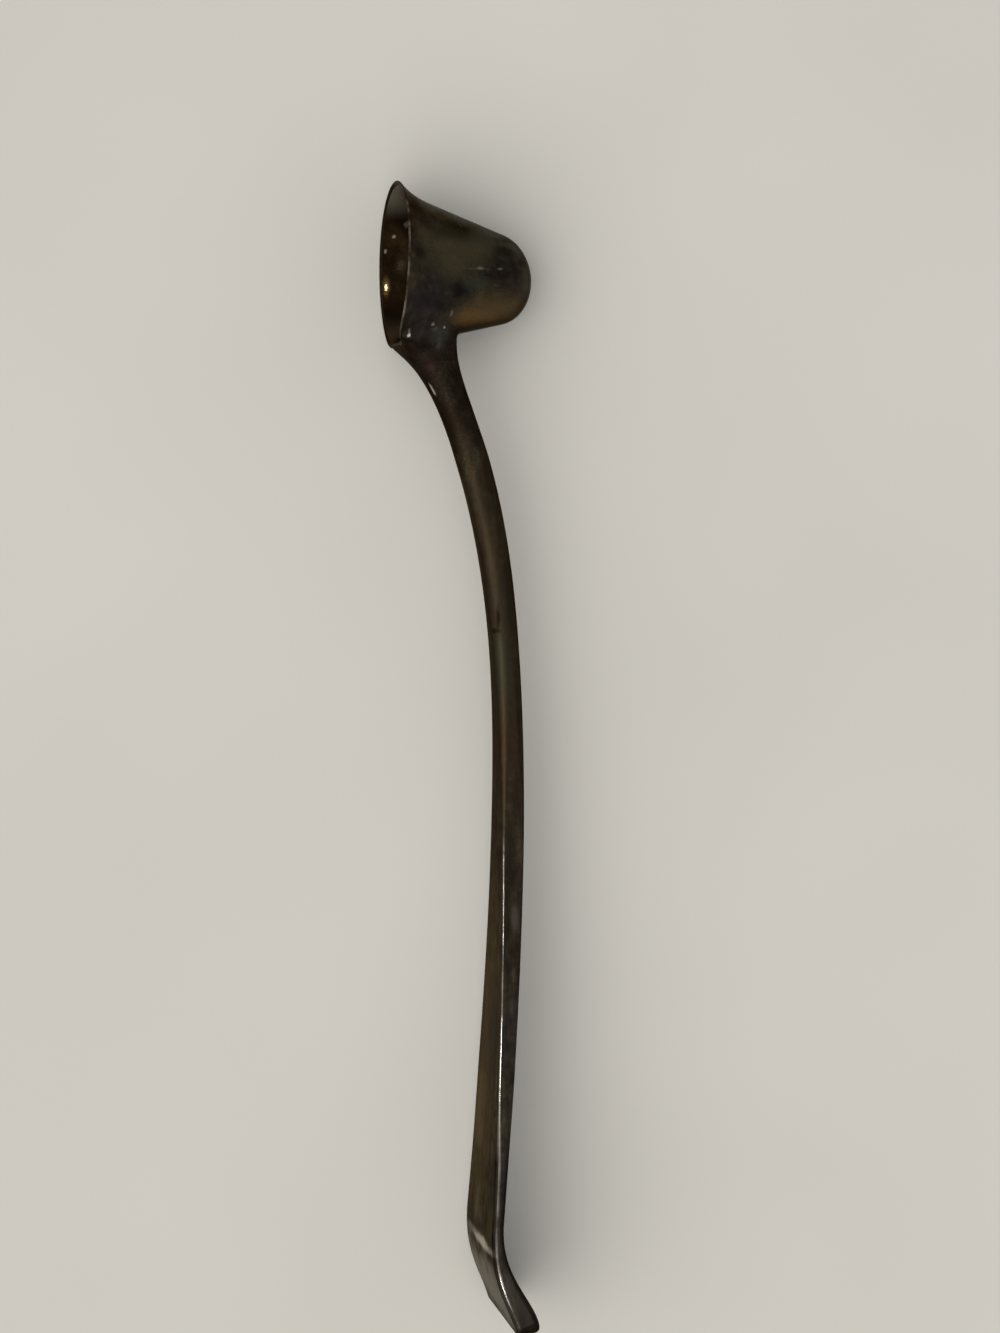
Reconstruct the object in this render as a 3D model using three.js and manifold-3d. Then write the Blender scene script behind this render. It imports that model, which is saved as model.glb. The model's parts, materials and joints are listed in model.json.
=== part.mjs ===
// Candle snuffer: a flared bell cup, silver-soldered to a curved one-piece handle that
// spreads into a thumb blade with a turned-over end.
// Millimetres, +Z up. It lies on its side, as it is set down on a table: on the lip, on the
// crown and on the far edge of the blade. The mouth faces -X and a little upwards.
import * as THREE from 'three';
import { mergeVertices } from 'three/addons/utils/BufferGeometryUtils.js';
import Module from 'manifold-3d';

// Bell cup, measured along its own axis from the mouth
const MOUTH_RADIUS = 20;
const CUP_HEIGHT = 31.4;
const CUP_WALL = 1;
const LIP_EDGE = 0.8;
const LIP_LENGTH = 7.4;
const LIP_BEND = 2.9;
const NECK_RADIUS = 15.5;
const CROWN_RADIUS = 10.5;
const CROWN_RISE = 8.6;
const CUP_LEAN = 5;

// Handle: saddle foot, soft-edged stem, crisp flat blade and turned-over, squared-off end
const FOOT_DEPTH = 14.8;
const FOOT_WIDTH = 15;
const FOOT_ROUND = 5;
const FOOT_SEAT = 6.83;
const FLARE_LENGTH = 30;
const FLARE_POWER = 4.25;
const STEM_DEPTH = 7.2;
const STEM_WIDTH = 8.4;
const STEM_ROUND = 3;
const STEM_DROP = 11.6;
const STEM_LEAN = 22.4;
const STEM_PULL = 38.2;
const THIN_POWER = 1.16;
const SPREAD_FROM = 70.4;
const SPREAD_SOFT = 0.45;
const BLADE_DEPTH = 2.8;
const BLADE_WIDTH = 31.6;
const BLADE_SET = 18.6;
const BLADE_REACH = 220.4;
const BLADE_LEAN = 5.4;
const BLADE_PULL = 118.6;
const TURN_LENGTH = 25.8;
const TURN_RISE = 6.6;
const TURN_PULL = 13.8;
const TURN_EASE = 6.1;
const TIP_DEPTH = 5.75;
const TIP_ROUND = 2.5;
const TIP_NOSE = 1.2;
const EDGE_ROUND = 0.5;
const SHARP_FROM = 135;
const TIP_EDGE = 1.2;
const FULL_ROUND = 0.48;

// Solder film between the cup and the foot of the handle
const SOLDER_THICKNESS = 0.6;
const SOLDER_MARGIN = 0.6;
const JOINT_GAP = 0.3;

// Fineness of the faceted surfaces
const CUP_SIDES = 64;
const LIP_STEPS = 6;
const CROWN_STEPS = 8;
const CORNER_STEPS = 4;
const FOOT_RINGS = 14;
const STEM_RINGS = 26;
const TURN_RINGS = 14;
const TIP_RINGS = 9;
const SETTLE_PASSES = 60;
const MERGE_STEP = 1e-4;

const wasm = await Module();
wasm.setup();

// Outline of the cup from lip to crown as (radius, height) points, grown outwards by `grow` and,
// at the very edge of the lip, by `edgeGrow`
function cupOutline(grow, edgeGrow) {
  const crownAt = CUP_HEIGHT - CROWN_RISE;
  const stretch = CROWN_RADIUS / CROWN_RISE;
  const neckX = (LIP_LENGTH - crownAt) * stretch;
  const neckReach = Math.hypot(neckX, NECK_RADIUS);
  const meet = Math.atan2(NECK_RADIUS, neckX) - Math.acos(CROWN_RADIUS / neckReach);
  const meetHeight = crownAt + CROWN_RISE * Math.cos(meet);
  const meetRadius = CROWN_RADIUS * Math.sin(meet);
  const taper = Math.atan2(NECK_RADIUS - meetRadius, meetHeight - LIP_LENGTH);
  const bendRadius = NECK_RADIUS + (LIP_LENGTH - LIP_BEND) * Math.tan(taper);
  const flare = Math.atan2(MOUTH_RADIUS - bendRadius, LIP_BEND);
  const mid = (taper + flare) / 2;
  const lip = new THREE.QuadraticBezierCurve(
    new THREE.Vector2(MOUTH_RADIUS + edgeGrow, 0),
    new THREE.Vector2(bendRadius + grow * Math.cos(mid), LIP_BEND + grow * Math.sin(mid)),
    new THREE.Vector2(NECK_RADIUS + grow * Math.cos(taper), LIP_LENGTH + grow * Math.sin(taper)),
  );
  const outline = lip.getPoints(LIP_STEPS);
  for (let step = 0; step <= CROWN_STEPS; step += 1) {
    const angle = meet * (1 - step / CROWN_STEPS);
    const radius = step === CROWN_STEPS ? 0 : (CROWN_RADIUS + grow) * Math.sin(angle);
    outline.push(new THREE.Vector2(radius, crownAt + (CROWN_RISE + grow) * Math.cos(angle)));
  }
  return outline;
}

// Revolve a closed outline about the cup's axis, which then points along +X; the crown leans
// towards the handle, so the mouth is cut a little out of square
function revolve(outline) {
  const lean = -Math.tan(THREE.MathUtils.degToRad(CUP_LEAN));
  const geometry = new THREE.LatheGeometry(outline, CUP_SIDES);
  geometry.rotateZ(-Math.PI / 2);
  geometry.applyMatrix4(new THREE.Matrix4().makeShear(lean, 0, 0, 0, 0, 0));
  return geometry;
}

// Closed solid from a geometry: shared corners merged, flat slivers dropped, faces outwards
function toSolid(geometry) {
  const bare = new THREE.BufferGeometry();
  bare.setAttribute('position', geometry.getAttribute('position'));
  bare.setIndex(geometry.getIndex());
  const merged = mergeVertices(bare, MERGE_STEP);
  const corners = merged.getAttribute('position');
  const index = merged.getIndex();
  const faces = [];
  let volume = 0;
  const a = new THREE.Vector3();
  const b = new THREE.Vector3();
  const c = new THREE.Vector3();
  for (let i = 0; i < index.count; i += 3) {
    const face = [index.getX(i), index.getX(i + 1), index.getX(i + 2)];
    if (new Set(face).size === 3) {
      a.fromBufferAttribute(corners, face[0]);
      b.fromBufferAttribute(corners, face[1]);
      c.fromBufferAttribute(corners, face[2]);
      volume += a.dot(b.cross(c));
      faces.push(face);
    }
  }
  const outward = volume < 0 ? faces.map(([i, j, k]) => [i, k, j]) : faces;
  return new wasm.Manifold(new wasm.Mesh({
    numProp: 3,
    vertProperties: new Float32Array(corners.array),
    triVerts: new Uint32Array(outward.flat()),
  }));
}

function toGeometry(solid) {
  const mesh = solid.getMesh();
  const geometry = new THREE.BufferGeometry();
  geometry.setAttribute('position', new THREE.BufferAttribute(mesh.vertProperties, 3));
  geometry.setIndex(new THREE.BufferAttribute(mesh.triVerts, 1));
  geometry.computeVertexNormals();
  return geometry;
}

// The cup: outside and inside walls joined by a flat lip
function makeCup() {
  const outside = cupOutline(0, 0);
  const inside = cupOutline(-CUP_WALL, -LIP_EDGE).reverse();
  return revolve([...outside, ...inside, outside[0]]);
}

// Solid plug of the cup's outside grown by `grow`, carried on past the mouth
function cupPlug(grow) {
  const outline = cupOutline(grow, grow);
  const below = new THREE.Vector2(outline[0].x, -FOOT_DEPTH);
  return toSolid(revolve([new THREE.Vector2(0, -FOOT_DEPTH), below, ...outline]));
}

// Middle line of the handle in the plane of the cup's axis: neck, stem and turned-over end
function handleLine() {
  const lean = THREE.MathUtils.degToRad(STEM_LEAN);
  const seat = new THREE.Vector2(FOOT_SEAT, -NECK_RADIUS);
  const stemWay = new THREE.Vector2(Math.sin(lean), -Math.cos(lean));
  const start = seat.clone().addScaledVector(stemWay, -FOOT_DEPTH / 2);
  const stem = seat.clone().addScaledVector(stemWay, STEM_DROP / Math.cos(lean));
  const blade = new THREE.Vector2(BLADE_SET, -BLADE_REACH);
  const bladeLean = THREE.MathUtils.degToRad(BLADE_LEAN);
  const bladeWay = new THREE.Vector2(Math.sin(bladeLean), Math.cos(bladeLean));
  const end = new THREE.Vector2(BLADE_SET + TURN_RISE, -BLADE_REACH - TURN_LENGTH);
  const line = new THREE.CurvePath();
  line.add(new THREE.LineCurve(start, stem));
  line.add(new THREE.CubicBezierCurve(
    stem,
    stem.clone().addScaledVector(stemWay, STEM_PULL),
    blade.clone().addScaledVector(bladeWay, BLADE_PULL),
    blade,
  ));
  line.add(new THREE.CubicBezierCurve(
    blade,
    blade.clone().addScaledVector(bladeWay, -TURN_PULL),
    new THREE.Vector2(end.x, end.y + TURN_EASE),
    end,
  ));
  return line;
}

// Rounded-rectangle section across the handle as (depth, width) offsets
function section(depth, width, corners) {
  const round = Math.min(corners, depth * FULL_ROUND, width * FULL_ROUND);
  const ring = [];
  for (let corner = 0; corner < 4; corner += 1) {
    const acrossDepth = corner === 0 || corner === 3 ? 1 : -1;
    const acrossWidth = corner < 2 ? 1 : -1;
    for (let step = 0; step <= CORNER_STEPS; step += 1) {
      const angle = (corner + step / CORNER_STEPS) * Math.PI / 2;
      ring.push(new THREE.Vector2(
        acrossDepth * (depth / 2 - round) + round * Math.cos(angle),
        acrossWidth * (width / 2 - round) + round * Math.sin(angle),
      ));
    }
  }
  return ring;
}

// Loft the handle along its middle line; `margin` grows the foot for the solder film
function makeHandle(margin) {
  const line = handleLine();
  const [, bladeRun, whole] = line.getCurveLengths();
  const seatRun = FOOT_DEPTH / 2;
  const flareEnd = seatRun + FLARE_LENGTH;
  const roundFrom = whole - TIP_ROUND;

  const flareAt = (run) => Math.max(1 - (run - seatRun) / FLARE_LENGTH, 0);
  const thinAt = (run) => THREE.MathUtils.clamp((run - flareEnd) / (bladeRun - flareEnd), 0, 1);
  const swellAt = (run) => THREE.MathUtils.smoothstep(run, bladeRun, whole - TIP_NOSE);
  const cornerLoss = (run, round) => {
    const near = THREE.MathUtils.clamp((run - whole + round) / round, 0, 1);
    return 2 * round * (1 - Math.sqrt(1 - near * near));
  };

  const depthAt = (run) => {
    const stem = THREE.MathUtils.lerp(STEM_DEPTH, BLADE_DEPTH, thinAt(run) ** THIN_POWER);
    const foot = (FOOT_DEPTH - STEM_DEPTH) * Math.min(flareAt(run), 1) ** FLARE_POWER;
    return THREE.MathUtils.lerp(stem, TIP_DEPTH, swellAt(run)) + foot - cornerLoss(run, TIP_NOSE);
  };
  const widthAt = (run) => {
    const spread = THREE.MathUtils.clamp((run - SPREAD_FROM) / (whole - SPREAD_FROM), 0, 1);
    const soft = spread < SPREAD_SOFT ? spread * spread / (2 * SPREAD_SOFT) : spread - SPREAD_SOFT / 2;
    const blade = THREE.MathUtils.lerp(STEM_WIDTH, BLADE_WIDTH, soft / (1 - SPREAD_SOFT / 2));
    const foot = (FOOT_WIDTH - STEM_WIDTH) * flareAt(run) ** FLARE_POWER;
    return blade + foot - cornerLoss(run, TIP_ROUND);
  };
  const roundAt = (run) => {
    const sharp = THREE.MathUtils.smoothstep(run, SPREAD_FROM, SHARP_FROM);
    const blade = THREE.MathUtils.lerp(STEM_ROUND, EDGE_ROUND, sharp);
    const edge = THREE.MathUtils.lerp(blade, TIP_EDGE, swellAt(run));
    return THREE.MathUtils.lerp(edge, FOOT_ROUND, Math.min(flareAt(run), 1)) + margin;
  };

  const runs = [];
  for (let i = 0; i < FOOT_RINGS; i += 1) runs.push(flareEnd * i / FOOT_RINGS);
  for (let i = 0; i < STEM_RINGS; i += 1) runs.push(flareEnd + (bladeRun - flareEnd) * i / STEM_RINGS);
  for (let i = 0; i < TURN_RINGS; i += 1) runs.push(bladeRun + (roundFrom - bladeRun) * i / TURN_RINGS);
  for (let i = 0; i <= TIP_RINGS; i += 1) {
    runs.push(roundFrom + TIP_ROUND * Math.sin(i / TIP_RINGS * Math.PI / 2));
  }

  const positions = [];
  const index = [];
  const sides = 4 * (CORNER_STEPS + 1);
  for (const run of runs) {
    const middle = line.getPointAt(run / whole);
    const ahead = line.getTangentAt(run / whole);
    const depth = depthAt(run) + 2 * margin;
    const width = widthAt(run) + 2 * margin;
    for (const offset of section(depth, width, roundAt(run))) {
      positions.push(middle.x - ahead.y * offset.x, middle.y + ahead.x * offset.x, offset.y);
    }
  }
  const first = line.getPointAt(0);
  const last = line.getPointAt(1);
  positions.push(first.x, first.y, 0, last.x, last.y, 0);
  const firstCorner = runs.length * sides;
  for (let side = 0; side < sides; side += 1) {
    const next = (side + 1) % sides;
    index.push(firstCorner, next, side);
    for (let ring = 0; ring + 1 < runs.length; ring += 1) {
      const here = ring * sides;
      const beyond = here + sides;
      index.push(here + side, here + next, beyond + next, here + side, beyond + next, beyond + side);
    }
    const lastRing = (runs.length - 1) * sides;
    index.push(lastRing + side, lastRing + next, firstCorner + 1);
  }
  const geometry = new THREE.BufferGeometry();
  geometry.setAttribute('position', new THREE.Float32BufferAttribute(positions, 3));
  geometry.setIndex(index);
  return toSolid(geometry);
}

// Cup, solder film and handle, each a clear gap from the next
const cupGeometry = toGeometry(toSolid(makeCup()));
const solderInside = JOINT_GAP;
const solderOutside = solderInside + SOLDER_THICKNESS;
const footSeat = solderOutside + JOINT_GAP;
const handleSolid = makeHandle(0).subtract(cupPlug(footSeat));
const solderSolid = makeHandle(SOLDER_MARGIN).intersect(cupPlug(solderOutside)).subtract(cupPlug(solderInside));
const handleGeometry = toGeometry(handleSolid);
const solderGeometry = toGeometry(solderSolid);

// Upward direction when it lies at rest on the lip, the crown and the handle
function cornersOf(geometry, keep) {
  const position = geometry.getAttribute('position');
  const found = [];
  for (let i = 0; i < position.count; i += 1) {
    const corner = new THREE.Vector3().fromBufferAttribute(position, i);
    if (keep(corner)) found.push(corner);
  }
  return found;
}

function lowest(corners, up) {
  return corners.reduce((low, corner) => (corner.dot(up) < low.dot(up) ? corner : low));
}

function restingUp() {
  const supports = [
    cornersOf(cupGeometry, (corner) => corner.x < LIP_LENGTH),
    cornersOf(cupGeometry, (corner) => corner.x >= LIP_LENGTH),
    cornersOf(handleGeometry, (corner) => corner.y < -BLADE_REACH / 2),
  ];
  const up = new THREE.Vector3(0, 0, 1);
  for (let pass = 0; pass < SETTLE_PASSES; pass += 1) {
    const [lip, crown, blade] = supports.map((corners) => lowest(corners, up));
    up.crossVectors(crown.clone().sub(lip), blade.clone().sub(lip)).normalize();
    if (up.z < 0) up.negate();
  }
  return up;
}

// Darkly tarnished silver plate: the cup is the warmest, the handle nearly black, and the solder,
// filed flush, is as dark as they are
const cup = new THREE.Mesh(cupGeometry, new THREE.MeshStandardMaterial({
  color: 0x4a443c, roughness: 0.38, metalness: 1,
}));
cup.name = 'bell_cup';
const handle = new THREE.Mesh(handleGeometry, new THREE.MeshStandardMaterial({
  color: 0x3f3a36, roughness: 0.35, metalness: 1,
}));
handle.name = 'handle';
const solder = new THREE.Mesh(solderGeometry, new THREE.MeshStandardMaterial({
  color: 0x454038, roughness: 0.38, metalness: 1,
}));
solder.name = 'solder_seam';

// Turn the snuffer onto its three supports and stand it on the ground over the origin
const snuffer = new THREE.Group();
snuffer.add(cup, handle, solder);
const up = restingUp();
const along = new THREE.Vector3(0, 1, 0).addScaledVector(up, -up.y).normalize();
const across = new THREE.Vector3().crossVectors(along, up);
const turn = new THREE.Matrix4().makeBasis(across, along, up).transpose();
snuffer.quaternion.setFromRotationMatrix(turn);
snuffer.updateMatrixWorld(true);
const bounds = new THREE.Box3().setFromObject(snuffer, true);
const middle = bounds.getCenter(new THREE.Vector3());
snuffer.position.set(-middle.x, -middle.y, -bounds.min.z);

const candleSnuffer = new THREE.Group();
candleSnuffer.name = 'candle_snuffer';
candleSnuffer.add(snuffer);
candleSnuffer.updateMatrixWorld(true);

export default candleSnuffer;
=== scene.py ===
"""Candle snuffer of darkly tarnished silver plate, lying on its side on a pale table."""

import json
import math

import bmesh
import bpy
from mathutils import Euler, Matrix, Vector


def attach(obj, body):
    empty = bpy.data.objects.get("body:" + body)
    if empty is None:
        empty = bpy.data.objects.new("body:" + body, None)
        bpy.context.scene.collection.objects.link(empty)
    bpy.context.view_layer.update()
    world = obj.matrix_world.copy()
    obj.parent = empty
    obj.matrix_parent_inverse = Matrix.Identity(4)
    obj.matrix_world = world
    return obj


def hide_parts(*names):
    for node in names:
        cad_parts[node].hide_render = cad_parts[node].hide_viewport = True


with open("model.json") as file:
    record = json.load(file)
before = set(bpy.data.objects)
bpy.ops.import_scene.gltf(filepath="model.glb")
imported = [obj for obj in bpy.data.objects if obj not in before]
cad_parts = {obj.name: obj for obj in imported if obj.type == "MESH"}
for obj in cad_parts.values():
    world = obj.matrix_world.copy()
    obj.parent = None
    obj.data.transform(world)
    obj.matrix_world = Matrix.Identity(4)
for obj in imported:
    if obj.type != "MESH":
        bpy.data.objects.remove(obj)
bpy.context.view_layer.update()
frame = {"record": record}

MM = 0.001

# Bell cup, in millimetres along its own axis from the mouth
MOUTH_RADIUS = 20.0
CUP_HEIGHT = 31.4
CUP_WALL = 1.0
LIP_EDGE = 0.8
LIP_ROUND = 0.36
LIP_LENGTH = 7.4
LIP_BEND = 2.9
NECK_RADIUS = 15.5
CROWN_RADIUS = 10.5
CROWN_RISE = 8.6
CUP_LEAN = math.radians(5.0)

# Handle: saddle foot, soft-edged stem, crisp flat blade and turned-over, squared-off end
FOOT_DEPTH = 14.8
FOOT_WIDTH = 15.0
FOOT_ROUND = 5.0
FOOT_SEAT = 6.83
FLARE_LENGTH = 30.0
FLARE_POWER = 4.25
STEM_DEPTH = 7.2
STEM_WIDTH = 8.4
STEM_ROUND = 3.0
STEM_DROP = 11.6
STEM_LEAN = math.radians(22.4)
STEM_PULL = 38.2
THIN_POWER = 1.16
SPREAD_FROM = 70.4
SPREAD_SOFT = 0.45
BLADE_DEPTH = 2.8
BLADE_WIDTH = 31.6
BLADE_SET = 18.6
BLADE_REACH = 220.4
BLADE_LEAN = math.radians(5.4)
BLADE_PULL = 118.6
TURN_LENGTH = 25.8
TURN_RISE = 6.6
TURN_PULL = 13.8
TURN_EASE = 6.1
TIP_DEPTH = 5.75
TIP_ROUND = 3.5
TIP_NOSE = 1.2
EDGE_ROUND = 0.5
SHARP_FROM = 135.0
SOFT_FROM = 178.0
SOFT_TO = 205.0
TIP_EDGE = 1.3
FULL_ROUND = 0.48

# The foot ends inside the cup's wall, and a hollow fillet of solder runs round it
FOOT_SINK = 0.5
FOOT_TRIM = 0.3
FILLET_RISE = (1.3, 3.2)
FILLET_REACH = (1.5, 4.0)
FILLET_SINK = 0.015
FILLET_ROOT = 0.35
FILLET_FULL = 0.4
FILLET_TURN = 1.2
LIP_CLEAR = 0.7

# Dents: the lip's near side is pressed out towards the flame, and its edge by the foot is pushed in
PRESS_OUT = 2.0
PRESS_IN = 2.1
PRESS_DEPTH = 9.0
OUT_FROM = -21.0
OUT_RISE = 7.0
OUT_TO = 19.0
OUT_FADE = 32.0
OUT_SIDE = 10.0
IN_FROM = -14.0
IN_RISE = 4.0
IN_HALF_WIDTH = 14.0

# Fineness of the smooth surfaces
CUP_SIDES = 128
LIP_STEPS = 14
CONE_STEPS = 8
CROWN_STEPS = 20
LIP_ROUND_STEPS = 4
BRIM_STEPS = 16
CORNER_STEPS = 7
CURVE_STEPS = 200
WAY_PARTS = 8
FOOT_RINGS = 26
STEM_RINGS = 60
TURN_RINGS = 30
TIP_RINGS = 16
FILLET_RINGS = 144
FLAT_SHARE = 0.25
FILLET_STEPS = 9
SEAM_PASSES = 24
SLOPE_STEP = 0.2
SMOOTH_ANGLE = math.radians(40.0)
MERGE_STEP = 0.002 * MM
LIP_LEVEL = LIP_EDGE / 4

# Patterns in the metal: sizes and bumps in millimetres, and the shares that the finer ones add
CLOUD_SIZE = 9.0
STREAK_SIZE = 2.2
STREAK_STRETCH = 0.12
MOTTLE_SIZE = 2.4
GRAIN_SIZE = 0.5
DRIFT_SIZE = 30.0
PIT_SPACING = 4.5
LINING_CLOUD_SIZE = 6.0
LIP_WEAR_SIZE = 4.0
FACE_RAG_SIZE = 4.0
WEAR_AND_GLINT_SIZE = 5.0
MOTTLE_SHARE = 0.6
MOTTLE_RISE = 0.08
GRAIN_RISE = 0.015
CUP_BUMP = 0.18
LINING_BUMP = 0.15
LIP_BUMP = 0.1
HANDLE_BUMP = 0.16

# Marks are full where the rag and the distance add up to little, and gone where they add up to much
RAG_SHARE = 1.6
MARK_FULL = 1.2
MARK_GONE = 2.0

# Ranges in the materials: from and to, and what these become where that is not 0 and 1
STREAKS_ON = (-22.0, -44.0)
PLUM_ON = (0.48, 0.68, 0.0, 0.6)
PITS_ON = (0.08, 0.2, 0.7, 0.0)
FILM_ROUGHNESS = (0.55, 1.05, 0.26, 0.42)
SOOTY_SHADE_ON = (3.0, 12.0)
GREY_REFLECTION_ON = (12.0, 19.0)
BROWN_REFLECTION_ON = (-8.0, -18.0)
LINING_ROUGHNESS = (0.3, 0.7, 0.2, 0.34)
SOOT_ROUGHNESS = 0.6
LIP_NEAR = (6.0, 15.0, -0.3, 0.0)
LIP_ROUGHNESS = (0.3, 0.7, 0.42, 0.26)
FRONT_ON = (0.0, -0.15)
BACK_ON = (0.0, 0.15)
END_ON = (-192.0, -206.0)
EDGE_MIDDLE = (0.05, 0.16)
EDGE_SHOULDER = (0.72, 0.86)
EDGE_FLAT = (0.002, 0.03)
EDGE_DARK_REFLECTION_ON = (0.002, 0.02, 0.0, 0.7)
FRONT_RUB_AND_GLINT = (0.0, 1.0, 0.2, 1.0)
GRIP = (-120.0, -240.0)
BARE_AND_GLINT_ON = (0.36, 0.62, 0.2, 1.0)
DULL = (-30.0, -110.0, 0.26, 0.14)
BACK_SHEEN = -0.16
POLISH_GAIN = 3.0
POLISHED = 0.22

# Colours of the metal, its films, the dirt on it, and painted reflections, shade and highlights
FILM_EDGE = "#b1ada8"
PLUM_FILM = "#2f2a2e"
PIT_DARK = "#17130f"
SOOTY_SHADE = "#0f0b07"
LINING_GREY_REFLECTION = "#706b61"
LINING_BROWN_REFLECTION = "#463b2f"
EDGE_DARK_REFLECTION = "#15110d"
BARE_SILVER_AND_GLINT = "#b7b4ad"
FILM_RAMP = ((0.55, "#1e1a16"), (0.72, "#2d2822"), (0.84, "#393328"), (1.0, "#4c4536"))
LINING_RAMP = ((0.30, "#140e08"), (0.50, "#1b130a"), (0.70, "#2a1e0f"))
LIP_RAMP = ((0.36, "#2b2620"), (0.50, "#574e49"), (0.70, "#8f857d"))

# How bright fingers have rubbed the blade's edge, from the end of the stem to the tip, as shades of grey;
# the white stretch and the bright stop near the tip are painted highlights
GRIP_WEAR_AND_GLINT_RAMP = (
    (0.07, "#000000"), (0.15, "#a8a8a8"), (0.28, "#a8a8a8"), (0.32, "#707070"), (0.43, "#707070"),
    (0.47, "#ffffff"), (0.55, "#ffffff"), (0.62, "#909090"), (0.76, "#787878"), (0.90, "#787878"),
    (0.94, "#d0d0d0"), (0.965, "#a0a0a0"), (1.0, "#404040"),
)

# Table, lamps and the glow of the room, in metres and watts
FLOOR_SIZE = 6.0
FLOOR_DRIFT = 0.12
FLOOR_ROUGHNESS = 0.85
FLOOR_RAMP = ((0.3, "#d3d1cb"), (0.7, "#d9d7d2"))
LAMPS = (
    (Vector((-0.12, -0.49, 0.88)), 1.6),
    (Vector((-0.35, -0.06, 0.85)), 1.8),
    (Vector((-0.74, 0.35, 0.48)), 0.5),
)
LAMP_SIZE = 0.05
CEILING_WAY = Vector((-0.35, -0.2, 0.91))
CEILING_LIGHT = 1.43
CEILING_RAMP = ((0.0, "#8a8b8d"), (0.5, "#b6b5b4"), (0.95, "#f6f3ec"))

# Camera: its place and turn over the table, and its long lens
CAMERA_PLACE = Vector((86.56, 75.29, 574.93)) * MM
CAMERA_TURN = Euler((math.radians(-5.492), math.radians(7.686), math.radians(-0.773)))
CAMERA_LENS = 66.17
CAMERA_SENSOR = 36.0
CAMERA_NEAR = 0.01

# How it lies: the mouth's centre and the cup's axis, from the mount on the lip
lip_mount = next(mount for mount in frame["record"]["mounts"] if mount["name"] == "mouth_lip")
crown_way = -Vector(lip_mount["axis"]).normalized()
far_way = Vector((1.0, 0.0, 0.0)).cross(crown_way).normalized()
side_way = crown_way.cross(far_way)
mouth_centre = Vector(lip_mount["pos_m"]) - far_way * (MOUTH_RADIUS - LIP_EDGE / 2) * MM
lie = Matrix.Translation(mouth_centre) @ Matrix((crown_way, far_way, side_way)).transposed().to_4x4()


def clamp(value):
    return min(max(value, 0.0), 1.0)


def lerp(low, high, share):
    return low + (high - low) * share


def ease(value):
    """Smooth step from 0 to 1."""
    share = clamp(value)
    return share * share * (3 - 2 * share)


def bezier(points, share):
    """Point of a Bezier curve of any order."""
    while len(points) > 1:
        points = [a.lerp(b, share) for a, b in zip(points, points[1:])]
    return points[0]


# Outlines

def cup_outline(grow, edge_grow):
    """Half outline of the cup from lip to crown, as (radius, height), grown outwards."""
    crown_at = CUP_HEIGHT - CROWN_RISE
    neck_x = (LIP_LENGTH - crown_at) * CROWN_RADIUS / CROWN_RISE
    meet = math.atan2(NECK_RADIUS, neck_x) - math.acos(CROWN_RADIUS / math.hypot(neck_x, NECK_RADIUS))
    meet_height = crown_at + CROWN_RISE * math.cos(meet)
    meet_radius = CROWN_RADIUS * math.sin(meet)
    taper = math.atan2(NECK_RADIUS - meet_radius, meet_height - LIP_LENGTH)
    bend_radius = NECK_RADIUS + (LIP_LENGTH - LIP_BEND) * math.tan(taper)
    middle = (taper + math.atan2(MOUTH_RADIUS - bend_radius, LIP_BEND)) / 2
    lip = [
        Vector((MOUTH_RADIUS + edge_grow, 0.0)),
        Vector((bend_radius + grow * math.cos(middle), LIP_BEND + grow * math.sin(middle))),
        Vector((NECK_RADIUS + grow * math.cos(taper), LIP_LENGTH + grow * math.sin(taper))),
    ]
    crown = []
    for step in range(CROWN_STEPS):
        angle = meet * (1 - step / CROWN_STEPS)
        radius = (CROWN_RADIUS + grow) * math.sin(angle)
        crown.append(Vector((radius, crown_at + (CROWN_RISE + grow) * math.cos(angle))))
    outline = [bezier(lip, step / LIP_STEPS) for step in range(LIP_STEPS + 1)]
    outline += [lip[2].lerp(crown[0], step / CONE_STEPS) for step in range(1, CONE_STEPS)]
    return outline + crown + [Vector((0.0, crown_at + CROWN_RISE + grow))]


def handle_curves():
    """Control points of the handle's middle line: straight neck, stem and turned-over end."""
    seat = Vector((FOOT_SEAT, -NECK_RADIUS))
    stem_way = Vector((math.sin(STEM_LEAN), -math.cos(STEM_LEAN)))
    start = seat - stem_way * FOOT_DEPTH / 2
    stem = seat + stem_way * STEM_DROP / math.cos(STEM_LEAN)
    blade = Vector((BLADE_SET, -BLADE_REACH))
    blade_way = Vector((math.sin(BLADE_LEAN), math.cos(BLADE_LEAN)))
    end = blade + Vector((TURN_RISE, -TURN_LENGTH))
    return [
        [start, stem],
        [stem, stem + stem_way * STEM_PULL, blade + blade_way * BLADE_PULL, blade],
        [blade, blade - blade_way * TURN_PULL, end + Vector((0.0, TURN_EASE)), end],
    ]


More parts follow.
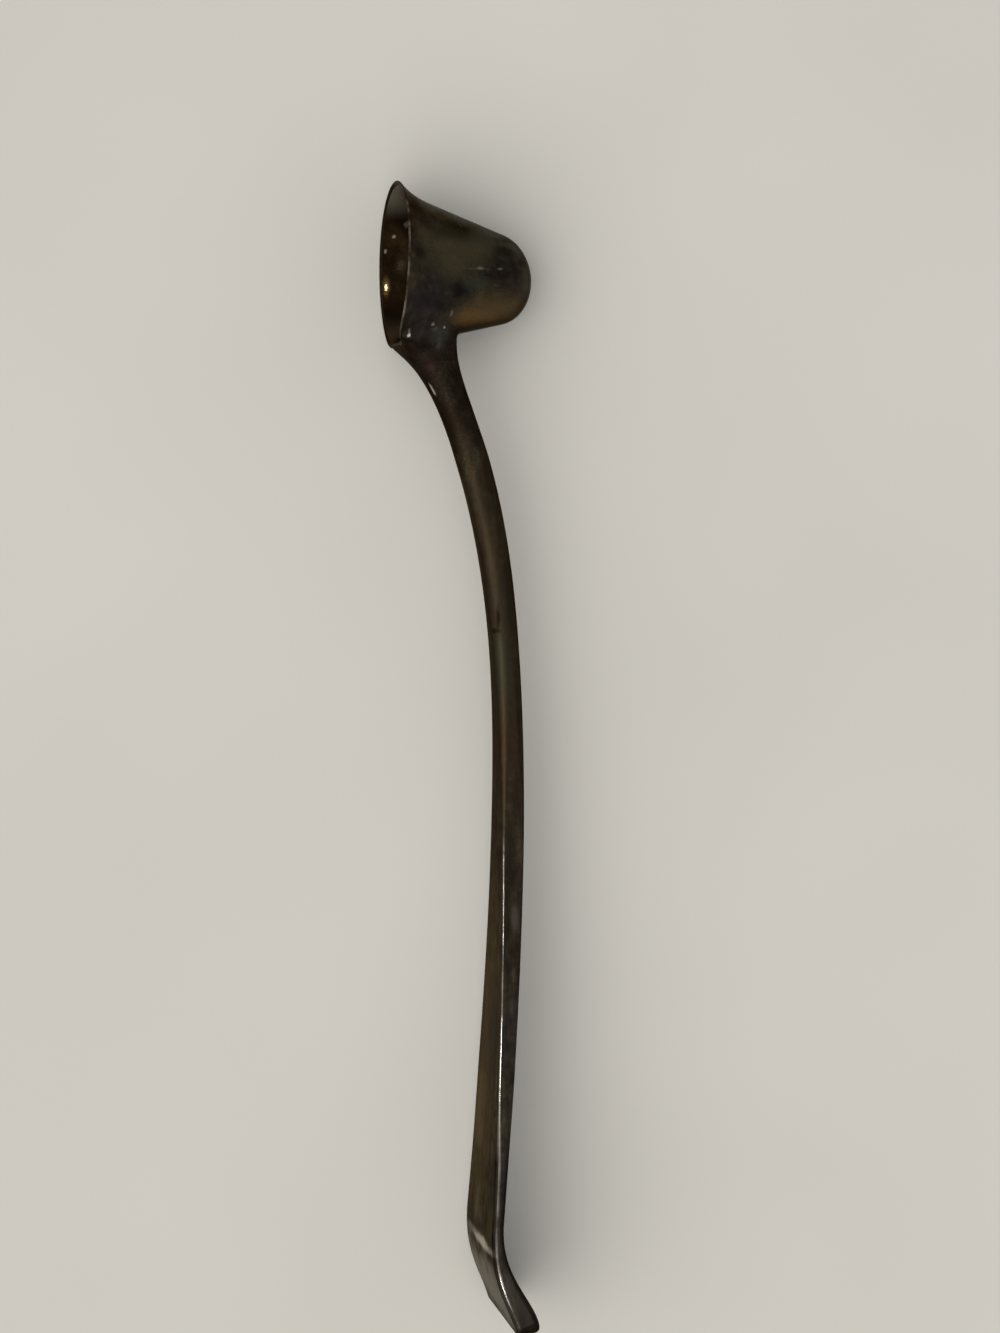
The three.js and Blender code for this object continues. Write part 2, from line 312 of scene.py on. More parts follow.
class HandleShape:
    """Middle line of the handle by length run from its start, and its section there."""

    def __init__(self):
        self.points = []
        self.runs = []
        self.curve_ends = []
        run = 0.0
        for curve in handle_curves():
            for step in range(CURVE_STEPS + 1):
                point = bezier(curve, step / CURVE_STEPS)
                if self.points:
                    run += (point - self.points[-1]).length
                self.points.append(point)
                self.runs.append(run)
            self.curve_ends.append(run)
        self.whole = run
        self.seat_run = FOOT_DEPTH / 2
        self.blade_run = self.curve_ends[1]
        self.flare_end = self.seat_run + FLARE_LENGTH
        self.round_from = self.whole - TIP_ROUND

    def point(self, run):
        for index in range(1, len(self.runs)):
            if self.runs[index] >= run and self.runs[index] > self.runs[index - 1]:
                share = (run - self.runs[index - 1]) / (self.runs[index] - self.runs[index - 1])
                return self.points[index - 1].lerp(self.points[index], share)
        return self.points[-1]

    def way(self, run):
        reach = self.whole / CURVE_STEPS / WAY_PARTS
        ahead = self.point(min(run + reach, self.whole))
        behind = self.point(max(run - reach, 0.0))
        return (ahead - behind).normalized()

    def flare(self, run):
        return max(1 - (run - self.seat_run) / FLARE_LENGTH, 0.0)

    def thin(self, run):
        return clamp((run - self.flare_end) / (self.blade_run - self.flare_end))

    def swell(self, run):
        return ease((run - self.blade_run) / (self.whole - TIP_NOSE - self.blade_run))

    def corner_loss(self, run, corner):
        """What the round corners of the end take off a side."""
        near = clamp((run - self.whole + corner) / corner)
        return 2 * corner * (1 - math.sqrt(1 - near * near))

    def depth(self, run):
        stem = lerp(STEM_DEPTH, BLADE_DEPTH, self.thin(run) ** THIN_POWER)
        body = lerp(stem, TIP_DEPTH, self.swell(run))
        foot = (FOOT_DEPTH - STEM_DEPTH) * clamp(self.flare(run)) ** FLARE_POWER
        return body + foot - self.corner_loss(run, TIP_NOSE)

    def width(self, run):
        spread = clamp((run - SPREAD_FROM) / (self.whole - SPREAD_FROM))
        soft = spread * spread / (2 * SPREAD_SOFT) if spread < SPREAD_SOFT else spread - SPREAD_SOFT / 2
        blade = lerp(STEM_WIDTH, BLADE_WIDTH, soft / (1 - SPREAD_SOFT / 2))
        foot = (FOOT_WIDTH - STEM_WIDTH) * self.flare(run) ** FLARE_POWER
        return blade + foot - self.corner_loss(run, TIP_ROUND)

    def corner(self, run):
        sharp = ease((run - SPREAD_FROM) / (SHARP_FROM - SPREAD_FROM))
        soft = ease((run - SOFT_FROM) / (SOFT_TO - SOFT_FROM))
        edge = lerp(lerp(STEM_ROUND, EDGE_ROUND, sharp), TIP_EDGE, soft)
        wanted = lerp(edge, FOOT_ROUND, clamp(self.flare(run)))
        return min(wanted, self.depth(run) * FULL_ROUND, self.width(run) * FULL_ROUND)

    def surface(self, run, angle):
        """Point of the surface at a run, and at an angle that goes round the flats and corners there."""
        corner = self.corner(run)
        across = Vector((math.cos(angle), math.sin(angle)))
        quarter = math.atan2(abs(across.y), abs(across.x)) / (math.pi / 2)
        arc = clamp((quarter - FLAT_SHARE) / (1 - 2 * FLAT_SHARE)) * math.pi / 2
        depth = (self.depth(run) / 2 - corner) * clamp((1 - quarter) / FLAT_SHARE) + corner * math.cos(arc)
        width = (self.width(run) / 2 - corner) * clamp(quarter / FLAT_SHARE) + corner * math.sin(arc)
        depth = math.copysign(depth, across.x)
        width = math.copysign(width, across.y)
        middle = self.point(run)
        way = self.way(run)
        return Vector((middle.x - way.y * depth, middle.y + way.x * depth, width))

    def ring_runs(self):
        runs = [self.flare_end * step / FOOT_RINGS for step in range(FOOT_RINGS)]
        runs += [lerp(self.flare_end, self.blade_run, step / STEM_RINGS) for step in range(STEM_RINGS)]
        runs += [lerp(self.blade_run, self.round_from, step / TURN_RINGS) for step in range(TURN_RINGS)]
        quarter = math.pi / 2 / TIP_RINGS
        runs += [self.round_from + TIP_ROUND * math.sin(step * quarter) for step in range(TIP_RINGS + 1)]
        return runs


handle_shape = HandleShape()
cup_outside = cup_outline(0.0, 0.0)
cup_middle = cup_outline(-CUP_WALL / 2, -LIP_EDGE / 2)


# Modelling helpers

def pick(piece):
    """Make a piece the only one selected, and the active one."""
    bpy.ops.object.select_all(action="DESELECT")
    piece.select_set(True)
    bpy.context.view_layer.objects.active = piece


def start_piece(name):
    """Open an empty mesh in edit mode."""
    bpy.ops.object.select_all(action="DESELECT")
    bpy.ops.mesh.primitive_plane_add(size=MM)
    piece = bpy.context.object
    piece.name = name
    piece.data.name = name
    bpy.ops.object.mode_set(mode="EDIT")
    bpy.ops.mesh.select_mode(type="VERT")
    bpy.ops.mesh.delete(type="VERT")
    return piece


def select_where(piece, kind, test):
    """In edit mode, select only the corners, edges or faces that pass the test."""
    bpy.ops.mesh.select_mode(type={"verts": "VERT", "edges": "EDGE", "faces": "FACE"}[kind])
    bpy.ops.mesh.select_all(action="DESELECT")
    mesh = bmesh.from_edit_mesh(piece.data)
    for part in getattr(mesh, kind):
        part.select = test(part)
    mesh.select_flush_mode()
    bmesh.update_edit_mesh(piece.data)


def close_and_face_outwards():
    bpy.ops.mesh.select_all(action="SELECT")
    bpy.ops.mesh.remove_doubles(threshold=MERGE_STEP)
    bpy.ops.mesh.normals_make_consistent(inside=False)
    bpy.ops.object.mode_set(mode="OBJECT")


def apply_modifier(piece, kind, **settings):
    pick(piece)
    bpy.ops.object.modifier_add(type=kind)
    modifier = piece.modifiers[-1]
    for name, value in settings.items():
        setattr(modifier, name, value)
    bpy.ops.object.modifier_apply(modifier=modifier.name)


def lay_down(piece):
    """Turn a finished piece into its resting place, with the place kept in its mesh."""
    pick(piece)
    bpy.ops.object.shade_smooth_by_angle(angle=SMOOTH_ANGLE)
    apply_modifier(piece, "WEIGHTED_NORMAL", keep_sharp=True)
    piece.matrix_world = lie
    bpy.ops.object.transform_apply(location=True, rotation=True, scale=True)


def up_axis(height):
    """How far the cup's leaning axis goes for a height, in metres."""
    return Vector((height, -height * math.tan(CUP_LEAN), 0.0)) * MM


def draw_wall(stations):
    """Extrude the selected ring of corners along (radius, height) stations, the first already there."""
    for here, there in zip(stations, stations[1:]):
        bpy.ops.mesh.extrude_region_move(TRANSFORM_OT_translate={"value": up_axis(there.y - here.y)})
        if there.x > 0:
            share = there.x / here.x
            bpy.ops.transform.resize(value=(1.0, share, share), center_override=up_axis(there.y))
        else:
            bpy.ops.mesh.merge(type="CENTER")


def set_ring(piece, places):
    """Add a ring of corners in edit mode, at places in millimetres."""
    bpy.ops.mesh.primitive_circle_add(vertices=len(places), radius=MM)
    mesh = bmesh.from_edit_mesh(piece.data)
    mesh.verts.ensure_lookup_table()
    for corner, place in zip(mesh.verts[-len(places):], places):
        corner.co = place * MM
    bmesh.update_edit_mesh(piece.data)


def paint_faces(piece, index, test):
    """Give the faces that pass the test one of the piece's materials."""
    pick(piece)
    bpy.ops.object.mode_set(mode="EDIT")
    select_where(piece, "faces", test)
    piece.active_material_index = index
    bpy.ops.object.material_slot_assign()
    bpy.ops.object.mode_set(mode="OBJECT")


# Pieces

def runs_round_lip(edge):
    """True for the edges of the flat lip that run round the mouth."""
    first, second = (corner.co for corner in edge.verts)
    level = max(abs(first.x), abs(second.x)) < MERGE_STEP
    return level and abs(first.yz.length - second.yz.length) < LIP_LEVEL * MM


def make_cup():
    """Cup: a ring at the lip, drawn up the outside to the crown and up the inside to the hollow's top."""
    cup = start_piece("cup_shell")
    inside = cup_outline(-CUP_WALL, -LIP_EDGE)
    bpy.ops.mesh.primitive_circle_add(
        vertices=CUP_SIDES, radius=MOUTH_RADIUS * MM, rotation=(0.0, math.pi / 2, 0.0)
    )
    draw_wall(cup_outside)
    select_where(cup, "verts", lambda corner: abs(corner.co.x) < MERGE_STEP)
    draw_wall([cup_outside[0]] + inside)
    select_where(cup, "edges", runs_round_lip)
    bpy.ops.mesh.bevel(offset=LIP_ROUND * MM, segments=LIP_ROUND_STEPS, affect="EDGES")
    close_and_face_outwards()
    return cup


def dented(point):
    """Where a point of the cup goes: its lip is pressed out on the near side and in by the foot."""
    near_lip = ease(1 - point.x / PRESS_DEPTH)
    along = ease((point.y - OUT_FROM) / OUT_RISE) * clamp((OUT_TO - point.y) / OUT_FADE)
    out = along * clamp(point.z / OUT_SIDE)
    into = ease((IN_FROM - point.y) / IN_RISE) * ease(1 - abs(point.z) / IN_HALF_WIDTH)
    return point + Vector((-PRESS_OUT * out, PRESS_IN * into, 0.0)) * near_lip


def dent(piece):
    """Dent a finished cup, or the plug that stands for it."""
    for corner in piece.data.vertices:
        corner.co = dented(corner.co / MM) * MM


def make_plug():
    """Solid of the dented cup and of the space before its lip, to cut the foot of the handle to them."""
    plug = start_piece("cup_plug")
    outline = cup_outline(-FOOT_SINK, -FOOT_SINK)
    below = Vector((2 * MOUTH_RADIUS, -FOOT_DEPTH))
    brim = [Vector((2 * MOUTH_RADIUS, -FOOT_TRIM)), Vector((outline[0].x, -FOOT_TRIM))]
    front = [brim[0].lerp(brim[1], step / BRIM_STEPS) for step in range(BRIM_STEPS + 1)]
    bpy.ops.mesh.primitive_circle_add(
        vertices=CUP_SIDES, radius=below.x * MM, location=up_axis(below.y), rotation=(0.0, math.pi / 2, 0.0)
    )
    bpy.ops.mesh.edge_face_add()
    draw_wall([below] + front + outline)
    close_and_face_outwards()
    dent(plug)
    return plug


def make_handle():
    """Handle: rounded rectangles set along the middle line, bridged, and cut to the cup."""
    handle = start_piece("handle_bar")
    for run in handle_shape.ring_runs():
        middle = handle_shape.point(run)
        way = handle_shape.way(run)
        centre = Vector((middle.x, middle.y, 0.0)) * MM
        bpy.ops.mesh.primitive_plane_add(size=MM, location=centre, rotation=(math.pi / 2, 0.0, 0.0))
        sides = (handle_shape.depth(run), 1.0, handle_shape.width(run))
        bpy.ops.transform.resize(value=sides, center_override=centre)
        corner = handle_shape.corner(run) * MM
        bpy.ops.mesh.bevel(offset=corner, offset_type="ABSOLUTE", segments=CORNER_STEPS, affect="VERTICES")
        turn = math.atan2(way.x, -way.y)
        bpy.ops.transform.rotate(value=-turn, orient_axis="Z", center_override=centre)
        bpy.ops.mesh.delete(type="ONLY_FACE")
    bpy.ops.mesh.select_all(action="SELECT")
    bpy.ops.mesh.bridge_edge_loops()
    bpy.ops.mesh.select_all(action="DESELECT")
    bpy.ops.mesh.select_non_manifold()
    bpy.ops.mesh.edge_face_add()
    close_and_face_outwards()
    plug = make_plug()
    apply_modifier(handle, "BOOLEAN", operation="DIFFERENCE", object=plug, solver="EXACT")
    bpy.data.objects.remove(plug)
    return handle


def radius_at(outline, height, otherwise):
    """Radius of an outline at a height over the mouth, or another value off its ends."""
    for here, there in zip(outline, outline[1:]):
        if here.y <= height <= there.y:
            return lerp(here.x, there.x, (height - here.y) / (there.y - here.y))
    return otherwise


def cup_radius(height):
    """Outer radius of the cup at a height over the mouth."""
    return radius_at(cup_outside, height, MOUTH_RADIUS)


def from_axis(point):
    """Where a point lies round the leaning axis of the cup."""
    return Vector((point.y + point.x * math.tan(CUP_LEAN), point.z))


def onto_cup(point):
    """The point of the cup's outside at the same height and angle as a point, kept off the rounded lip."""
    height = clamp(point.x / CUP_HEIGHT) * CUP_HEIGHT
    height = max(height, LIP_ROUND * LIP_CLEAR)
    away = from_axis(point).normalized() * cup_radius(height)
    return Vector((height, away.x - height * math.tan(CUP_LEAN), away.y))


def cup_way(point):
    """Which way the dented cup faces at a point of its outside."""
    here = dented(onto_cup(point))
    sideways = Vector((0.0, -point.z, point.y)).normalized()
    along = dented(onto_cup(point + Vector((SLOPE_STEP, 0.0, 0.0)))) - here
    around = dented(onto_cup(point + sideways * SLOPE_STEP)) - here
    return around.cross(along).normalized()


def run_at_clearance(angle, clearance):
    """Run at which the handle's surface stands a distance off the cup, at an angle round the foot."""
    inner = 0.0
    outer = handle_shape.flare_end
    for _ in range(SEAM_PASSES):
        middle = (inner + outer) / 2
        point = handle_shape.surface(middle, angle)
        if from_axis(point).length - cup_radius(point.x) < clearance:
            inner = middle
        else:
            outer = middle
    return outer


def make_fillet():
    """Solder: hollow three-cornered sections set round the foot, from handle to cup, bridged."""
    fillet = start_piece("solder_fillet")
    angles = [math.tau * (step + 0.5) / FILLET_RINGS for step in range(FILLET_RINGS)]
    seam_runs = [run_at_clearance(angle, 0.0) for angle in angles]
    seam = [handle_shape.surface(run, angle) for run, angle in zip(seam_runs, angles)]
    heart = sum(seam, Vector()) / FILLET_RINGS
    for step, corner in enumerate(seam):
        lipward = ease((1 - math.cos(angles[step])) / FILLET_TURN)
        rise_run = run_at_clearance(angles[step], lerp(*FILLET_RISE, lipward))
        top = handle_shape.surface(rise_run, angles[step])
        up = Vector((0.0, *from_axis(corner).normalized()))
        ahead = seam[(step + 1) % FILLET_RINGS] - seam[step - 1]
        out = ahead.cross(up).normalized()
        if out.dot(corner - heart) < 0:
            out.negate()
        edge = onto_cup(corner + out * lerp(*FILLET_REACH, lipward))
        far = dented(edge)
        level = cup_way(edge)
        bend = corner.lerp(dented(corner), 0.5)
        bend += level * max(level.dot(far - bend), 0.0)
        bend = bend.lerp(top.lerp(far, 0.5), FILLET_FULL * lipward)
        middle = handle_shape.point(rise_run)
        inward = (Vector((middle.x, middle.y, 0.0)) - top).normalized()
        hollow = [bezier([top, bend, far], share / FILLET_STEPS) for share in range(FILLET_STEPS + 1)]
        hollow[0] = hollow[0] + inward * FILLET_SINK
        hollow[-1] = hollow[-1] - up * FILLET_SINK
        root = dented(corner) + (inward - up) * FILLET_ROOT
        set_ring(fillet, hollow + [root])
    bpy.ops.mesh.select_all(action="SELECT")
    bpy.ops.mesh.bridge_edge_loops(type="CLOSED")
    close_and_face_outwards()
    return fillet


# Material helpers

def linear(code):
    """Linear colour of an sRGB hex value."""
    shares = [int(code[place:place + 2], 16) / 255 for place in (1, 3, 5)]
    return [s / 12.92 if s <= 0.04045 else ((s + 0.055) / 1.055) ** 2.4 for s in shares] + [1.0]


def feed(tree, node, inputs):
    """Set or link a node's inputs."""
    for name, value in inputs.items():
        if isinstance(value, bpy.types.NodeSocket):
            tree.links.new(value, node.inputs[name])
        else:
            node.inputs[name].default_value = value


def add(tree, kind, inputs, give=0, ramp=(), **settings):
    """Add a node with its settings and links, and hand back one of its outputs."""
    node = tree.nodes.new("ShaderNode" + kind)
    for name, value in settings.items():
        setattr(node, name, value)
    if ramp:
        stops = node.color_ramp.elements
        for place, code in ramp[1:-1]:
            stops.new(place).color = linear(code)
        for stop, (place, code) in ((stops[0], ramp[0]), (stops[-1], ramp[-1])):
            stop.position = place
            stop.color = linear(code)
    feed(tree, node, inputs)
    return node.outputs[give]


def noise(tree, place, size, detail, **more):
    """Noise whose clouds have a size, in the units of the place."""
    return add(tree, "TexNoise", {"Vector": place, "Scale": 1 / size, "Detail": detail, **more})


def span(tree, value, low, high, first=0.0, last=1.0, **settings):
    """Carry a value over from one range to another, held at both ends."""
    inputs = {"Value": value, "From Min": low, "From Max": high, "To Min": first, "To Max": last}
    return add(tree, "MapRange", inputs, **settings)


def reckon(tree, operation, *values, **settings):
    """Put values together by one operation."""
    return add(tree, "Math", dict(enumerate(values)), operation=operation, **settings)


def blend(tree, share, first, second):
    """Number between two numbers."""
    return add(tree, "Mix", {0: share, 2: first, 3: second})


def facing(tree, way, other):
    """How far two ways agree, from 1 for the same to -1 for opposite."""
    return add(tree, "VectorMath", {0: way, 1: other}, give="Value", operation="DOT_PRODUCT")


def tint(tree, share, colour, over):
    """Lay another colour over a colour."""
    return add(tree, "MixRGB", {"Fac": share, "Color1": colour, "Color2": over})


def new_material(name):
    """New material, its node tree and the place on the object, in metres."""
    material = bpy.data.materials.new(name)
    material.use_nodes = True
    return material, material.node_tree, add(material.node_tree, "TexCoord", {}, give="Object")


def start_metal(name):
    """New metal, its node tree and the place in millimetres: along the cup, along the handle and across."""
    material, tree, place = new_material(name)
    inputs = {"Vector": place, "Location": mouth_centre, "Rotation": lie.to_euler(), "Scale": (MM, MM, MM)}
    return material, tree, add(tree, "Mapping", inputs, vector_type="TEXTURE")


def finish_metal(tree, colour, roughness, height, depth):
    """Metal under a film that keeps its edges from flaring white, with a bump of a depth in millimetres."""
    bump = add(tree, "Bump", {"Height": height, "Strength": 1.0, "Distance": depth * MM})
    surface = tree.nodes["Principled BSDF"]
    feed(tree, surface, {"Base Color": colour, "Metallic": 1.0, "Roughness": roughness, "Normal": bump})
    feed(tree, surface, {"Specular Tint": linear(FILM_EDGE)})


def lay_marks(tree, place, colour, rag, marks):
    """Lay soft-edged marks of other colours on a surface, with an edge made ragged by a noise."""
    for centre, reach, code, share in marks:
        away = add(tree, "VectorMath", {0: place, 1: centre}, operation="SUBTRACT")
        shares = add(tree, "VectorMath", {0: away, 1: reach}, operation="DIVIDE")
        length = add(tree, "VectorMath", {0: shares}, give="Value", operation="LENGTH")
        ragged = reckon(tree, "MULTIPLY_ADD", rag, RAG_SHARE, length)
        fade = span(tree, ragged, MARK_FULL, MARK_GONE, share, 0.0)
        colour = tint(tree, fade, colour, linear(code))
    return colour


# Marks: centre and reach in millimetres along the cup, along the handle and across, colour and strength

CUP_MARKS = (
    ((11.0, 3.0, 14.5), (10.0, 6.5, 7.0), "#564e38", 0.75),
    ((19.5, -9.6, 8.5), (10.5, 4.6, 6.0), "#5c4c33", 0.8),
    ((16.5, -11.5, 7.5), (6.0, 2.0, 3.5), "#6f573a", 0.5),
    ((13.8, -11.0, 8.8), (3.2, 2.0, 3.0), "#6e5232", 0.3),
    # Painted dark reflections on the upper flank and on the flare below the lip's top
    ((11.0, 7.6, 11.8), (11.0, 3.2, 5.0), "#1d1b16", 0.65),
    ((3.5, 11.0, 13.0), (4.0, 4.0, 5.0), "#282523", 0.6),
    # Painted reflection: a pale grey band along the upper silhouette and the crown's edge
    ((8.0, 13.8, 4.0), (7.0, 2.8, 7.0), "#676962", 0.75),
    ((15.0, 11.2, 4.0), (7.0, 2.6, 7.0), "#676962", 0.75),
    ((21.5, 8.4, 5.0), (6.0, 2.4, 6.0), "#62645d", 0.7),
    ((26.5, 4.5, 6.5), (4.0, 2.5, 4.0), "#55564f", 0.6),
    ((29.5, -3.0, 7.0), (2.4, 5.0, 4.0), "#4d4e48", 0.7),
    ((19.0, 5.2, 9.6), (6.0, 2.4, 4.0), "#3d3e38", 0.55),
    ((3.0, -9.5, 15.0), (5.5, 6.5, 6.0), "#2b272d", 0.7),
    ((2.0, 2.4, 18.0), (2.2, 2.0, 2.6), "#1f1916", 0.8),
    ((11.1, -5.7, 13.6), (2.6, 1.7, 2.2), "#1f1b18", 0.75),
    ((23.4, 3.5, 9.0), (3.4, 1.6, 2.6), "#1f1d19", 0.8),
    ((16.2, -4.0, 12.6), (4.2, 2.0, 2.6), "#4a4a3e", 0.5),
    ((14.5, -0.9, 13.2), (7.0, 0.3, 4.0), "#554f3f", 0.55),
    ((16.7, -0.7, 12.6), (0.9, 0.35, 1.5), "#8d8779", 0.7),
    ((21.7, -0.7, 11.1), (0.7, 0.35, 1.5), "#777266", 0.7),
)
FOOT_MARKS = (
    ((5.0, -20.0, 5.0), (8.0, 5.0, 7.0), "#211710", 0.6),
    ((8.4, -15.4, 7.8), (2.4, 3.4, 3.0), "#464740", 0.55),
    ((0.6, -15.56, 10.1), (0.5, 0.5, 0.9), "#f0ebe2", 0.95),
    ((0.6, -14.7, 10.9), (0.3, 0.6, 0.7), "#a8a39b", 0.6),
    ((6.3, -13.1, 10.0), (0.5, 0.5, 0.9), "#a29e96", 0.55),
    ((7.0, -14.2, 9.2), (0.9, 0.7, 0.9), "#5f5e57", 0.5),
    ((9.2, -13.7, 8.6), (0.3, 0.3, 0.7), "#c4bfb5", 0.65),
    ((10.4, -10.7, 10.8), (0.4, 1.0, 1.1), "#7d7a74", 0.5),
    ((8.3, -17.2, 6.9), (0.6, 1.5, 1.0), "#5c5d55", 0.4),
    ((6.8, -22.4, 4.7), (1.0, 1.0, 1.0), "#3f2a22", 0.4),
)
FRONT_TONE_AND_REFLECTION_MARKS = (
    # Laid only where the blade faces the front: a browner tone, partly painted reflection of the pale floor,
    # with darker and paler patches
    ((20.0, -182.0, -4.0), (8.0, 52.0, 14.0), "#5a4d3a", 0.6),
    ((21.0, -178.0, 3.0), (6.0, 13.0, 5.0), "#36322d", 0.6),
    ((18.5, -197.0, -7.0), (4.0, 11.0, 5.0), "#6d5e45", 0.5),
    ((17.4, -219.0, -3.0), (2.0, 6.0, 4.0), "#6b6152", 0.4),
    ((17.2, -221.4, 9.5), (2.0, 6.0, 2.6), "#45452f", 0.7),
    # Painted reflection of the pale floor on the turned end's face
    ((19.5, -238.0, 0.0), (8.0, 10.0, 26.0), "#827d73", 0.85),
    # Painted highlight along the crease where the blade turns over
    ((17.0, -226.4, 0.0), (3.0, 1.7, 18.0), "#a9a296", 0.4),
    ((17.0, -226.6, 4.0), (3.0, 1.2, 10.0), "#d6cfc1", 0.6),
)
BACK_TONE_AND_SHEEN_MARKS = (
    # Laid only where the blade faces back: a painted warm sheen, darker and paler patches and a paler turned
    # end
    ((26.0, -175.0, 0.0), (14.0, 75.0, 34.0), "#594e3d", 0.6),
    ((25.5, -203.0, 4.0), (5.0, 16.0, 9.0), "#776d5f", 0.5),
    ((26.0, -168.0, -5.0), (5.0, 12.0, 6.0), "#3a352e", 0.5),
    ((28.0, -240.0, 0.0), (8.0, 9.0, 26.0), "#7d786e", 0.6),
)
LINING_MARKS = (
    # Painted glint: a gold halo and its pale core
    ((1.2, -2.6, -17.7), (1.0, 2.6, 1.6), "#45351a", 0.6),
    ((1.2, -2.6, -17.7), (0.35, 0.8, 0.7), "#d8c69c", 0.8),
    # Painted glints: two pale specks
    ((2.5, 8.8, -14.2), (0.4, 0.5, 0.8), "#9d968a", 0.5),
    ((1.0, 5.7, -17.1), (0.35, 0.5, 0.8), "#9d968a", 0.5),
    ((4.7, 11.2, -10.1), (0.6, 0.9, 1.2), "#8a776a", 0.25),
    # Painted shade in the deep of the hollow
    ((4.5, 2.5, -15.0), (4.0, 5.0, 4.0), "#0d0906", 0.7),
)
NECK_MARKS = (
    ((20.0, -80.0, 0.0), (30.0, 75.0, 30.0), "#30271b", 0.7),
    ((9.0, -31.0, 0.0), (11.0, 18.0, 10.0), "#1b130d", 0.8),
)
HANDLE_MARKS = (
    ((22.2, -93.0, 3.5), (4.0, 12.0, 5.0), "#313328", 0.5),
    ((23.0, -108.0, 3.5), (4.0, 14.0, 5.0), "#35281f", 0.4),
    # Painted glint on the left edge of the neck
    ((7.8, -27.4, 2.3), (2.0, 1.5, 0.4), "#b8b0a4", 0.8),
    ((22.2, -80.2, 3.9), (0.5, 3.6, 1.5), "#150b08", 0.85),
    ((21.6, -82.9, 3.2), (1.8, 0.8, 1.5), "#150b08", 0.75),
    ((24.6, -146.0, 7.0), (3.0, 18.0, 5.0), "#241f19", 0.5),
    ((24.6, -149.4, 7.3), (1.1, 3.6, 1.4), "#5d5653", 0.5),
    ((18.6, -200.0, -9.0), (2.0, 26.0, 7.0), "#574a30", 0.5),
    ((22.5, -239.0, 12.0), (6.0, 8.0, 6.0), "#403c38", 0.7),
)


# Materials

def coat(tree, place, marks, scuffs):
    """Sulphide film on all the metal: olive-brown clouds that turn to streaks along the handle, plum drifts,
    pits and marks. Gives its colour, its roughness and its height."""
    along = add(tree, "SeparateXYZ", {"Vector": place}, give="Y")
    on_handle = span(tree, along, *STREAKS_ON)
    clouds = noise(tree, place, CLOUD_SIZE, 5, Roughness=0.6, Distortion=0.8)
    drawn = add(tree, "Mapping", {"Vector": place, "Scale": (1.0, STREAK_STRETCH, 1.0)})
    streaks = noise(tree, drawn, STREAK_SIZE, 4, Roughness=0.6)
    mottle = noise(tree, place, MOTTLE_SIZE, 3, Roughness=0.6)
    grain = noise(tree, place, GRAIN_SIZE, 2)
    drift = noise(tree, place, DRIFT_SIZE, 2)
    tone = blend(tree, on_handle, clouds, streaks)
    shade = reckon(tree, "MULTIPLY_ADD", mottle, MOTTLE_SHARE, tone)
    film = add(tree, "ValToRGB", {"Fac": shade}, ramp=FILM_RAMP)
    colour = tint(tree, span(tree, drift, *PLUM_ON), film, linear(PLUM_FILM))
    cells = add(tree, "TexVoronoi", {"Vector": place, "Scale": 1 / PIT_SPACING})
    pits = reckon(tree, "MULTIPLY", span(tree, cells, *PITS_ON), mottle)
    colour = tint(tree, pits, colour, linear(PIT_DARK))
    rag = blend(tree, 0.5, mottle, grain)
    colour = lay_marks(tree, place, colour, rag, marks)
    colour = lay_marks(tree, place, colour, grain, scuffs)
    roughness = span(tree, shade, *FILM_ROUGHNESS)
    waves = reckon(tree, "MULTIPLY_ADD", mottle, MOTTLE_RISE, clouds)
    height = reckon(tree, "MULTIPLY_ADD", grain, GRAIN_RISE, waves)
    return colour, roughness, height


def cup_plate():
    """Spun silver plate gone nearly black, half gloss: clouds, an amber patch, a scratch and scuffs, with
    painted reflections on the upper flank.
    """
    material, tree, place = start_metal("tarnished_silver_plate_cup")
    colour, roughness, height = coat(tree, place, CUP_MARKS, FOOT_MARKS)
    finish_metal(tree, colour, roughness, height, CUP_BUMP)
    return material


def cup_lining():
    """Inside of the cup: plate burnt through to brown brass, soot with painted shade darkening it inwards,
    painted reflections making it greyer and browner at the mouth's ends, painted glints and painted shade in
    the deep.
    """
    material, tree, place = start_metal("browned_brass_lining")
    clouds = noise(tree, place, LINING_CLOUD_SIZE, 5, Roughness=0.6, Distortion=0.5)
    browned = add(tree, "ValToRGB", {"Fac": clouds}, ramp=LINING_RAMP)
    axes = add(tree, "SeparateXYZ", {"Vector": place}).node.outputs
    # Darker deeper into the hollow: soot together with painted shade
    deep = span(tree, axes["X"], *SOOTY_SHADE_ON)
    colour = tint(tree, deep, browned, linear(SOOTY_SHADE))
    # Painted reflections: greyer towards one end of the mouth, browner towards the other
    for stretch, code in ((GREY_REFLECTION_ON, LINING_GREY_REFLECTION), (BROWN_REFLECTION_ON, LINING_BROWN_REFLECTION)):
        towards = span(tree, axes["Y"], *stretch, interpolation_type="SMOOTHSTEP")
        colour = tint(tree, towards, colour, linear(code))
    colour = lay_marks(tree, place, colour, noise(tree, place, GRAIN_SIZE, 2), LINING_MARKS)
    gloss = span(tree, clouds, *LINING_ROUGHNESS)
    roughness = blend(tree, deep, gloss, SOOT_ROUGHNESS)
    finish_metal(tree, colour, roughness, clouds, LINING_BUMP)
    return material


def lip_metal():
    """Edge of the lip: bare silver where it is rubbed, dull grey and brown where tarnish has crept back."""
    material, tree, place = start_metal("rubbed_silver_lip")
    wear = noise(tree, place, LIP_WEAR_SIZE, 4, Roughness=0.7)
    side = add(tree, "SeparateXYZ", {"Vector": place}, give="Z")
    rubbed = reckon(tree, "ADD", wear, span(tree, side, *LIP_NEAR))
    colour = add(tree, "ValToRGB", {"Fac": rubbed}, ramp=LIP_RAMP)
    roughness = span(tree, wear, *LIP_ROUGHNESS)
    finish_metal(tree, colour, roughness, wear, LIP_BUMP)
    return material


